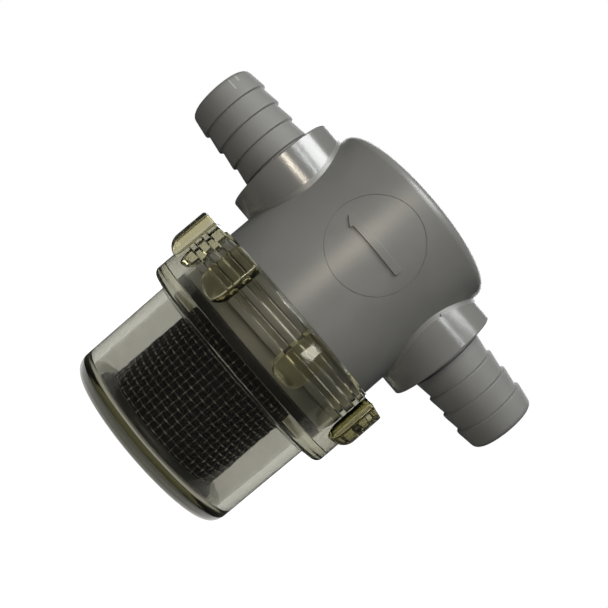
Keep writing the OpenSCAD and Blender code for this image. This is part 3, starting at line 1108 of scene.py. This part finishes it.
@dataclass(frozen=True)
class Bowl:
    """The clear bowl: cup, thick threaded collar and grip lugs in one moulding (mm)."""

    rim_z: float = 51.6
    wall_r: float = 28.05
    draft: float = 0.6
    wall_t: float = 2.9
    floor_t: float = 4.0
    base_r: float = 3.6
    floor_r: float = 1.8
    foot_depth: float = 0.5
    foot_w: float = 3.0
    foot_r: float = 0.3
    soft_r: float = 0.25
    fine_r: float = 0.2
    collar_r: float = 32.8
    collar_z: float = 30.1
    collar_slope: float = 1.0
    collar_edge_r: float = 1.9
    rim_slope: float = 0.9
    rim_edge_r: float = 0.7
    rim_land: float = 1.6
    rim_land_r: float = 0.6
    mouth: float = 0.5
    ledge_z: float = 34.5
    root_r: float = 27.6
    crest_r: float = 26.6
    thread_z: float = 40.7
    thread_turns: float = 2.05
    lug_count: int = 8
    lug_r: float = 36.2
    lug_w: float = 8.5
    lug_h: float = 9.3
    lug_drop: float = 0.6
    lug_edge_r: float = 0.8
    lug_foot_r: float = 4.15
    lug_root_r: float = 32.0
    lug_phase_deg: float = 14.7
    lug_cuts: tuple[float, ...] = (-2.4, -0.8, 0.8, 2.4)
    vault_parts: int = 10
    vault_tip: float = 0.02
    segments: int = 240

    def cup(self) -> Shape:
        """Turns the cup with its collar.

        Returns:
            The cup.
        """
        low_r = self.wall_r - self.draft
        in_r = self.wall_r - self.wall_t
        foot_in = low_r - self.base_r - self.foot_w
        return turned(rounded([
            (0, self.foot_depth, 0), (foot_in, self.foot_depth, self.foot_r),
            (foot_in + self.foot_depth, 0, self.foot_r), (low_r, 0, self.base_r),
            (self.wall_r, self.collar_z, self.soft_r),
            (self.collar_r, self.collar_z + self.collar_slope, self.collar_edge_r),
            (self.collar_r, self.rim_z - self.rim_slope, self.rim_edge_r),
            (self.collar_r - self.rim_land, self.rim_z, self.rim_land_r),
            (self.root_r + self.mouth, self.rim_z, self.fine_r),
            (self.root_r, self.rim_z - self.mouth, self.fine_r), (self.root_r, self.ledge_z, self.fine_r),
            (in_r, self.ledge_z, self.soft_r), (in_r - self.draft, self.floor_t, self.floor_r),
            (0, self.floor_t, 0),
        ], parts=10), self.segments)

    def lug_block(self) -> Shape:
        """Shapes the upright block of a lug, its outer edges rounded and its width cut into strips.

        Returns:
            The block, at angle 0.
        """
        high = self.rim_z - self.lug_drop
        bm = bmesh.new()
        bmesh.ops.create_cube(bm, size=1.0)
        bmesh.ops.scale(bm, verts=bm.verts, vec=(2 * (self.lug_r - self.lug_root_r), self.lug_w, self.lug_h))
        moved(bm, (self.lug_root_r, 0, high - self.lug_h / 2))
        outer = [e for e in bm.edges if max(v.co.x for v in e.verts) > self.lug_root_r]
        upright = [e for e in outer if e.verts[0].co.z != e.verts[1].co.z]
        rim = [e for e in outer if min(v.co.z for v in e.verts) > high - NEAR_MM]
        bmesh.ops.bevel(
            bm, geom=upright + rim, offset=self.lug_edge_r, offset_type="OFFSET", affect="EDGES",
            segments=3, profile=0.5, material=-1,
        )
        return sliced(bm, self.lug_cuts, Vector((0, 1, 0)))

    def lug(self) -> Shape:
        """Shapes a lug at angle 0: the block, whose lower end closes in a rounded vault.

        Returns:
            The closed lug, rooted in the collar.
        """
        bm = self.lug_block()
        foot_z = self.rim_z - self.lug_drop - self.lug_h
        floor = [f for f in bm.faces if max(v.co.z for v in f.verts) < foot_z + NEAR_MM]
        turns = [math.pi / 2 * k / self.vault_parts for k in range(self.vault_parts + 1)]
        for before, turn in zip(turns, turns[1:]):
            made = bmesh.ops.extrude_face_region(bm, geom=floor)["geom"]
            bmesh.ops.delete(bm, geom=floor, context="FACES_ONLY")
            floor = [g for g in made if isinstance(g, bmesh.types.BMFace)]
            share = max(math.cos(turn), self.vault_tip) / math.cos(before)
            drop = self.lug_foot_r * (math.sin(turn) - math.sin(before))
            for vert in (g for g in made if isinstance(g, bmesh.types.BMVert)):
                vert.co.x = self.lug_root_r + (vert.co.x - self.lug_root_r) * share
                vert.co.y *= share
                vert.co.z -= drop
        bmesh.ops.delete(bm, geom=[e for e in bm.edges if not e.link_faces], context="EDGES")
        bmesh.ops.recalc_face_normals(bm, faces=bm.faces)

        def curve(p: Vector) -> Vector:
            return Vector((p.x - self.lug_r + math.sqrt(self.lug_r ** 2 - p.y ** 2), p.y, p.z))

        return tidy(reshaped(bm, curve))

    def lugs(self) -> Shape:
        """Sets the lugs round the collar."""
        step = 360 / self.lug_count
        return gathered([swung(self.lug(), self.lug_phase_deg - 90 + i * step) for i in range(self.lug_count)])

    def build(self, thread: ThreadForm, effects: SharedEffects) -> bpy.types.Object:
        """Builds and dresses the bowl.

        Args:
            thread: The form of the thread.
            effects: The shared node groups.

        Returns:
            The finished piece.
        """
        bm = worked(self.cup(), self.lugs(), Join.ADD)
        bm = worked(bm, thread.ridge(self.root_r, self.crest_r, self.thread_z, self.thread_turns), Join.ADD)
        piece = as_piece(bm, "clear_bowl", ClearPlastic().make(effects))
        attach(piece, "bowl")
        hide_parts("bowl")
        return piece


@dataclass(frozen=True)
class Seal:
    """The flat rubber ring between head and bowl (mm)."""

    low_z: float = 34.5
    high_z: float = 36.7
    in_r: float = 25.1
    out_r: float = 27.3
    edge_r: float = 0.4
    segments: int = 200

    def build(self, effects: SharedEffects) -> bpy.types.Object:
        """Builds and dresses the seal.

        Args:
            effects: The shared node groups.

        Returns:
            The finished piece.
        """
        middle = (self.low_z + self.high_z) / 2
        ring = rounded([
            (self.in_r, middle, 0), (self.in_r, self.low_z, self.edge_r), (self.out_r, self.low_z, self.edge_r),
            (self.out_r, self.high_z, self.edge_r), (self.in_r, self.high_z, self.edge_r), (self.in_r, middle, 0),
        ], parts=5)[:-1]
        piece = as_piece(turned(ring, self.segments, closed=True), "seal_ring", SealRubber().make(effects))
        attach(piece, "screen_stack")
        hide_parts("bowl_seal")
        return piece


@dataclass(frozen=True)
class Screen:
    """The screen: woven wire over fine cloth, with a flared end cap and a collar that seats in the head (mm)."""

    mesh_r: float = 19.0
    mesh_in_r: float = 18.1
    cap_z: float = 4.1
    cap_t: float = 0.8
    cap_h: float = 2.4
    cap_flare: float = 2.0
    cap_wall_t: float = 0.4
    cap_lip: float = 0.6
    cap_foot_bevel: float = 0.15
    cap_rim_bevel: float = 0.1
    flare_parts: int = 10
    basket_t: float = 0.8
    cloth_t: float = 0.2
    cloth_bite: float = 0.02
    cloth_foot_r: float = 0.3
    seat_z: float = 45.5
    top_h: float = 5.5
    top_t: float = 0.9
    top_edge_r: float = 0.3
    low_edge_r: float = 0.25
    lip_t: float = 0.6
    lip_edge_r: float = 0.2
    slip: float = 0.05
    columns: int = 58
    row_pitch: float = 1.94
    row_z: float = 28.3
    column_deg: float = -87.0
    wire_r: float = 0.19
    wave: float = 0.17
    wire_end: float = 0.1
    wire_sides: int = 6
    steps_per_cell: int = 4
    segments: int = 200

    def wire_centre_r(self) -> float:
        """Gives the radius about which the wires wave."""
        return self.mesh_r - self.wave - self.wire_r

    def rows(self) -> range:
        """Gives the numbers of the rows of wire between cap and collar.

        Returns:
            The numbers, 0 being the row at row_z.
        """
        low, high = self.cap_z + self.cap_t + self.wire_r, self.seat_z - self.cap_t - self.wire_r
        first, last = (low - self.row_z) / self.row_pitch, (high - self.row_z) / self.row_pitch
        return range(math.ceil(first), math.floor(last) + 1)

    def ring_wires(self) -> Shape:
        """Weaves the wires that run round the screen.

        Returns:
            The rings.
        """
        turns = [FULL_TURN * k / self.wire_sides for k in range(self.wire_sides)]
        rings = []
        for row in self.rows():
            sign = 1 if row % 2 == 0 else -1
            middle_r, z = self.wire_centre_r(), self.row_z + row * self.row_pitch
            circle = [(middle_r + self.wire_r * math.cos(a), z + self.wire_r * math.sin(a)) for a in turns]
            ring = turned(circle, self.columns * self.steps_per_cell, closed=True)

            def weave(p: Vector, sign: int = sign) -> Vector:
                radius = math.hypot(p.x, p.y)
                new = radius + sign * self.wave * math.cos(self.columns / 2 * math.atan2(p.y, p.x))
                return Vector((p.x * new / radius, p.y * new / radius, p.z))

            rings.append(reshaped(ring, weave))
        return gathered(rings)

    def upright_wire(self, column: int) -> Shape:
        """Weaves one wire that runs up the screen.

        Args:
            column: 0 or 1, the two ways in which it passes the rings.

        Returns:
            The wire.
        """
        low, high = self.cap_z + self.cap_t + self.wire_end, self.seat_z - self.cap_t - self.wire_end
        bm = bmesh.new()
        bmesh.ops.create_cone(
            bm, cap_ends=True, segments=self.wire_sides, radius1=self.wire_r, radius2=self.wire_r,
            depth=high - low, matrix=Matrix.Translation((self.wire_centre_r(), 0, (low + high) / 2)),
        )
        long_edges = [e for e in bm.edges if abs(e.verts[0].co.z - e.verts[1].co.z) > self.wire_r]
        cuts = round((high - low) / self.row_pitch * self.steps_per_cell)
        bmesh.ops.subdivide_edges(bm, edges=long_edges, cuts=cuts, use_grid_fill=True)
        wave = self.wave if column else -self.wave

        def bend(p: Vector) -> Vector:
            return Vector((p.x + wave * math.cos(math.pi * (p.z - self.row_z) / self.row_pitch), p.y, p.z))

        return swung(reshaped(bm, bend), 360 * column / self.columns)

    def upright_wires(self) -> Shape:
        """Sets the wires that run up the screen side by side.

        Returns:
            The wires.
        """
        wires = gathered([self.upright_wire(0), self.upright_wire(1)])
        pairs = self.columns // 2
        bmesh.ops.spin(
            wires, geom=wires.verts[:] + wires.edges[:] + wires.faces[:], cent=(0, 0, 0), axis=(0, 0, 1),
            dvec=(0, 0, 0), angle=FULL_TURN * (pairs - 1) / pairs, steps=pairs - 1, use_merge=False,
            use_normal_flip=False, use_duplicate=True,
        )
        return wires

    def woven_wire(self) -> Shape:
        """Weaves the rings and the upright wires together.

        Returns:
            All wires.
        """
        wires = swung(gathered([self.ring_wires(), self.upright_wires()]), self.column_deg)
        bmesh.ops.recalc_face_normals(wires, faces=wires.faces)
        return wires

    def cloth(self) -> Shape:
        """Turns the basket of fine cloth inside the wires.

        Returns:
            The basket.
        """
        out_r = self.mesh_r - 2 * (self.wave + self.wire_r) + self.cloth_bite
        in_r = out_r - self.cloth_t
        low, high = self.cap_z + self.cap_t, self.seat_z - self.cap_t
        return turned(rounded([
            (0, low, 0), (out_r, low, self.cloth_foot_r), (out_r, high, 0), (in_r, high, 0),
            (in_r, low + self.basket_t, self.cloth_t), (0, low + self.basket_t, 0),
        ], parts=3), 2 * self.columns)

    def end_cap(self) -> Shape:
        """Turns the end cap with its flared foot.

        Returns:
            The cap.
        """
        foot_r, flare_r = self.mesh_r + self.cap_flare, self.cap_flare - self.cap_wall_t
        wall_r, in_r = self.mesh_r + self.cap_wall_t, self.mesh_r + self.slip
        turns = [-math.pi / 2 - math.pi / 2 * k / self.flare_parts for k in range(self.flare_parts + 1)]
        centre_z = self.cap_lip + flare_r
        flare = [(foot_r + flare_r * math.cos(a), centre_z + flare_r * math.sin(a)) for a in turns]
        foot = [(0, 0), (foot_r - self.cap_foot_bevel, 0), (foot_r, self.cap_foot_bevel)]
        rim = [
            (wall_r, self.cap_h - self.cap_rim_bevel), (wall_r - self.cap_rim_bevel, self.cap_h),
            (in_r, self.cap_h), (in_r, self.cap_t), (0, self.cap_t),
        ]
        return moved(turned(foot + flare + rim, self.segments), (0, 0, self.cap_z))

    def collar(self) -> Shape:
        """Turns the collar, which grips the top of the screen in a groove.

        Returns:
            The collar.
        """
        out_r, in_r = self.mesh_r + self.top_t, self.mesh_in_r - self.lip_t
        groove_in_r, groove_out_r = self.mesh_in_r - self.slip, self.mesh_r + self.slip
        groove_z = self.seat_z - self.cap_t
        low = self.seat_z - self.top_h
        middle = (low + self.seat_z) / 2
        return turned(rounded([
            (in_r, middle, 0), (in_r, low, self.lip_edge_r), (groove_in_r, low, 0), (groove_in_r, groove_z, 0),
            (groove_out_r, groove_z, 0), (groove_out_r, low, 0), (out_r, low, self.low_edge_r),
            (out_r, self.seat_z, self.top_edge_r), (in_r, self.seat_z, self.lip_edge_r), (in_r, middle, 0),
        ], parts=4)[:-1], self.segments, closed=True)

    def build(self, effects: SharedEffects) -> list[bpy.types.Object]:
        """Builds and dresses the pieces of the screen.

        Args:
            effects: The shared node groups.

        Returns:
            The finished pieces.
        """
        woven = as_piece(self.woven_wire(), "woven_wire", ScreenWire().make(effects))
        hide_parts("screen_mesh")
        cloth = as_piece(self.cloth(), "fine_cloth", DarkPlastic.cloth().make(effects))
        dark = DarkPlastic().make(effects)
        cap = as_piece(self.end_cap(), "end_cap", dark)
        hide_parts("screen_end_cap")
        collar = as_piece(self.collar(), "screen_collar_ring", dark)
        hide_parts("screen_collar")
        pieces = [woven, cloth, cap, collar]
        for piece in pieces:
            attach(piece, "screen_stack")
        return pieces


@dataclass(frozen=True)
class Softbox:
    """One soft lamp: where it hangs, what it points at, its size in metres, its power in watts and its colour."""

    name: str
    place: tuple[float, float, float]
    size: tuple[float, float]
    power: float
    colour: tuple[float, float, float] = (1.0, 1.0, 1.0)
    aim: tuple[float, float, float] = (0.0, 0.0, 0.055)

    def hang(self) -> bpy.types.Object:
        """Makes the lamp.

        Returns:
            The lamp.
        """
        lamp = bpy.data.lights.new(self.name, "AREA")
        lamp.shape, lamp.size, lamp.size_y = "RECTANGLE", *self.size
        lamp.energy, lamp.color = self.power, self.colour
        obj = bpy.data.objects.new(self.name, lamp)
        bpy.context.scene.collection.objects.link(obj)
        place, aim = Vector(self.place), Vector(self.aim)
        turn = (aim - place).to_track_quat("-Z", "Y").to_matrix().to_4x4()
        obj.matrix_world = Matrix.Translation(place) @ turn
        obj.visible_camera = obj.visible_transmission = False
        return obj


@dataclass(frozen=True)
class Studio:
    """Floor, backdrop light, lamps and camera."""

    floor_half: float = 3.0
    floor_drop: float = 0.0001
    white: Colour = (1.0, 1.0, 1.0, 1.0)
    ambient: Colour = (0.055, 0.055, 0.055, 1.0)
    floor_colour: Colour = (0.24, 0.24, 0.24, 1.0)
    floor_white: float = 1.0
    surround: float = 0.05
    surround_inside: float = 0.22
    near_edge: float = 0.03
    open_from: float = -0.03
    surround_r: float = 2.2
    surround_h: float = 3.0
    surround_lift: float = 0.002
    surround_segments: int = 64
    surround_colour: Colour = (1.0, 0.99, 0.97, 1.0)
    window: float = 6.0
    window_low: float = 0.75
    window_high: float = 2.3
    window_half_w: float = 1.3
    lamps: tuple[Softbox, ...] = (
        Softbox("near", (-0.060, -0.25, 0.105), (0.045, 0.016), 0.11, (1.0, 0.90, 0.74)),
        Softbox("strip", (-0.06, -0.82, 0.65), (0.5, 0.09), 1.8, (0.95, 1.0, 1.0)),
        Softbox("side", (0.50, -0.87, 0.085), (0.16, 0.035), 0.2, (1.0, 0.95, 0.82)),
        Softbox("overhead", (-0.12, -0.50, 0.92), (0.5, 0.5), 8.0, (0.98, 1.0, 1.0)),
        Softbox("back", (0.0, 0.80, 0.50), (0.9, 0.6), 6.0, (0.98, 1.0, 1.0)),
    )
    eye: tuple[float, float, float] = (-0.00056, -0.23147, 0.04267)
    pitch: float = 0.0545
    yaw: float = -0.0014
    roll_deg: float = 49.575
    focal: float = 875.19
    frame_px: float = 608.0
    sensor: float = 36.0
    clip: tuple[float, float] = (0.01, 20.0)

    def white_rays(self, bench: NodeBench) -> Socket:
        """Tells rays that show the background from those that light the object, also through clear plastic.

        Args:
            bench: The node tree that asks.

        Returns:
            1 for a ray that shows the background.
        """
        path = bench.add("ShaderNodeLightPath").outputs
        passed = bench.sum_of("MAXIMUM", path["Is Glossy Ray"], path["Is Transmission Ray"])
        seen = bench.sum_of("MAXIMUM", path["Is Camera Ray"], passed)
        return bench.product(seen, bench.sum_of("LESS_THAN", path["Diffuse Depth"], ONCE))

    def background(self) -> None:
        """Makes the world white where it is seen, and plain grey light elsewhere."""
        world = bpy.data.worlds.new("studio")
        bpy.context.scene.world = world
        world.use_nodes = True
        world.node_tree.nodes.clear()
        bench = NodeBench(world.node_tree)
        colour = bench.blend(self.white_rays(bench), self.ambient, self.white)
        light = bench.add("ShaderNodeBackground", {"Color": colour, "Strength": 1.0})
        bench.add("ShaderNodeOutputWorld", {"Surface": light.outputs[0]})

    @staticmethod
    def fitting(bm: Shape, name: str, material: bpy.types.Material) -> bpy.types.Object:
        """Makes a thing of the studio.

        Args:
            bm: Its shape in metres, which is used up.
            name: Its name.
            material: What it is made of.

        Returns:
            The thing, in the scene.
        """
        mesh = bpy.data.meshes.new(name)
        bm.to_mesh(mesh)
        bm.free()
        mesh.materials.append(material)
        thing = bpy.data.objects.new(name, mesh)
        bpy.context.scene.collection.objects.link(thing)
        return thing

    def floor(self) -> bpy.types.Object:
        """Lays the pale floor, which keeps the object's shadow.

        Returns:
            The floor.
        """
        material, bench = new_material("pale_floor")
        plain = bench.add("ShaderNodeBsdfDiffuse", {"Color": self.floor_colour})
        share = bench.product(self.white_rays(bench), self.floor_white)
        white = bench.add("ShaderNodeEmission", {"Color": self.white, "Strength": share})
        both = bench.add("ShaderNodeAddShader", {0: plain.outputs[0], 1: white.outputs[0]})
        bench.show(both)
        bm = bmesh.new()
        bmesh.ops.create_grid(bm, x_segments=1, y_segments=1, size=self.floor_half)
        return self.fitting(moved(bm, (0, 0, -self.floor_drop)), "floor", material)

    def grey_surround(self) -> bpy.types.Object:
        """Hangs a grey cloth round the stage, which only reflections show, as the room behind a photographer.

        Reflections inside the clear bowl see the cloth brighter in front with a tall window in it, and the white
        background behind.

        Returns:
            The cloth.
        """
        material, bench = new_material("grey_cloth")
        path = bench.add("ShaderNodeLightPath").outputs
        mirrored = bench.sum_of("GREATER_THAN", path["Glossy Depth"], ONCE)
        through = bench.sum_of("GREATER_THAN", path["Transmission Depth"], ONCE)
        place = bench.place_parts()
        behind = bench.sum_of("GREATER_THAN", place["Y"], self.open_from)
        shown = bench.product(mirrored, bench.sum_of("SUBTRACT", 1.0, bench.product(behind, through)))
        above = bench.sum_of("GREATER_THAN", place["Z"], self.window_low)
        below = bench.sum_of("LESS_THAN", place["Z"], self.window_high)
        wide = bench.sum_of("LESS_THAN", bench.sum_of("ABSOLUTE", place["X"]), self.window_half_w)
        pane = bench.product(bench.product(bench.product(above, below), wide), self.window)
        inside = bench.sum_of("ADD", pane, self.surround_inside)
        strength = bench.between(through, self.surround, inside)
        cloth = bench.add("ShaderNodeEmission", {"Color": self.surround_colour, "Strength": strength})
        open_air = bench.add("ShaderNodeBsdfTransparent")
        both = bench.add("ShaderNodeMixShader", {0: shown, 1: open_air.outputs[0], 2: cloth.outputs[0]})
        bench.show(both)
        side = [
            (self.near_edge, self.surround_lift), (self.surround_r, self.surround_lift),
            (self.surround_r, self.surround_h), (0.0, self.surround_h),
        ]
        hung = self.fitting(turned(side, self.surround_segments), "surround", material)
        hung.visible_camera = hung.visible_diffuse = hung.visible_shadow = False
        return hung

    def camera(self) -> bpy.types.Object:
        """Sets the camera where the photograph was taken from.

        Returns:
            The camera.
        """
        lens = bpy.data.cameras.new("camera")
        lens.sensor_width, lens.lens = self.sensor, self.focal / self.frame_px * self.sensor
        lens.clip_start, lens.clip_end = self.clip
        camera = bpy.data.objects.new("camera", lens)
        bpy.context.scene.collection.objects.link(camera)
        flat = math.cos(self.pitch)
        forward = Vector((math.sin(self.yaw) * flat, math.cos(self.yaw) * flat, math.sin(self.pitch)))
        level = Vector((math.cos(self.yaw), -math.sin(self.yaw), 0))
        upward = level.cross(forward)
        roll = math.radians(self.roll_deg)
        right = level * math.cos(roll) + upward * math.sin(roll)
        up = upward * math.cos(roll) - level * math.sin(roll)
        axes = Matrix((right, up, -forward)).transposed()
        camera.matrix_world = Matrix.Translation(self.eye) @ axes.to_4x4()
        bpy.context.scene.camera = camera
        return camera

    def set_up(self) -> None:
        """Sets up the whole studio."""
        self.background()
        self.floor()
        self.grey_surround()
        for lamp in self.lamps:
            lamp.hang()
        self.camera()
        bpy.context.scene.view_settings.view_transform = "Standard"
        log.info("studio: %d lamps", len(self.lamps))


def main() -> None:
    """Builds the studio and every piece."""
    logging.basicConfig(level=logging.INFO, format="%(name)s %(message)s")
    Studio().set_up()
    effects = SharedEffects.build()
    thread = ThreadForm()
    Head().build(thread, effects)
    Bowl().build(thread, effects)
    Seal().build(effects)
    Screen().build(effects)
    bpy.context.view_layer.update()


if __name__ == "__main__":
    main()
